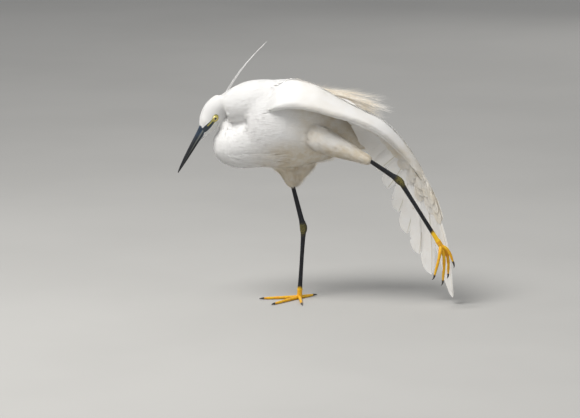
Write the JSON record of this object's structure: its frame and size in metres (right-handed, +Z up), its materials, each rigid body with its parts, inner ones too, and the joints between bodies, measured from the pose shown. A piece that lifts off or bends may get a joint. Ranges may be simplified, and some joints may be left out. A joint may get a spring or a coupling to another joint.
{
  "type": "little egret",
  "caption": "White wading bird standing on one leg, stretching the wing and leg of its other side, with a folded neck, a slim dark bill, dark legs and yellow feet.",
  "frame": {"origin": "the middle of the sole of the standing right foot, on the floor", "axes": "+Z up, -X the way the bird faces, -Y towards its left side, which stretches its wing and leg"},
  "size_m": [0.4124, 0.1573, 0.3914],
  "materials": {
    "plumage": "soft white feathers",
    "bill_horn": "smooth dark horn",
    "eye": "wet and glossy",
    "leg_skin": "black scaled skin",
    "foot_skin": "yellow scaled skin",
    "claw_horn": "dark horn"
  },
  "bodies": {
    "root": {"head": "plumage", "crest": "plumage", "bill_upper": "bill_horn", "bill_lower": "bill_horn", "eye_left": "eye", "eye_right": "eye", "neck_upper": "plumage", "neck_lower": "plumage", "torso": "plumage", "tail": "plumage", "wing_left_arm": "plumage", "wing_left_hand": "plumage", "wing_right": "plumage", "thigh_right": "plumage", "thigh_left": "plumage", "shank_right": "leg_skin", "shank_left": "leg_skin", "tarsus_right": "leg_skin", "tarsus_left": "leg_skin", "foot_right": "foot_skin", "foot_left": "foot_skin", "claw_right_inner": "claw_horn", "claw_right_middle": "claw_horn", "claw_right_outer": "claw_horn", "claw_right_hind": "claw_horn", "claw_left_inner": "claw_horn", "claw_left_middle": "claw_horn", "claw_left_outer": "claw_horn", "claw_left_hind": "claw_horn"}
  },
  "joints": []
}
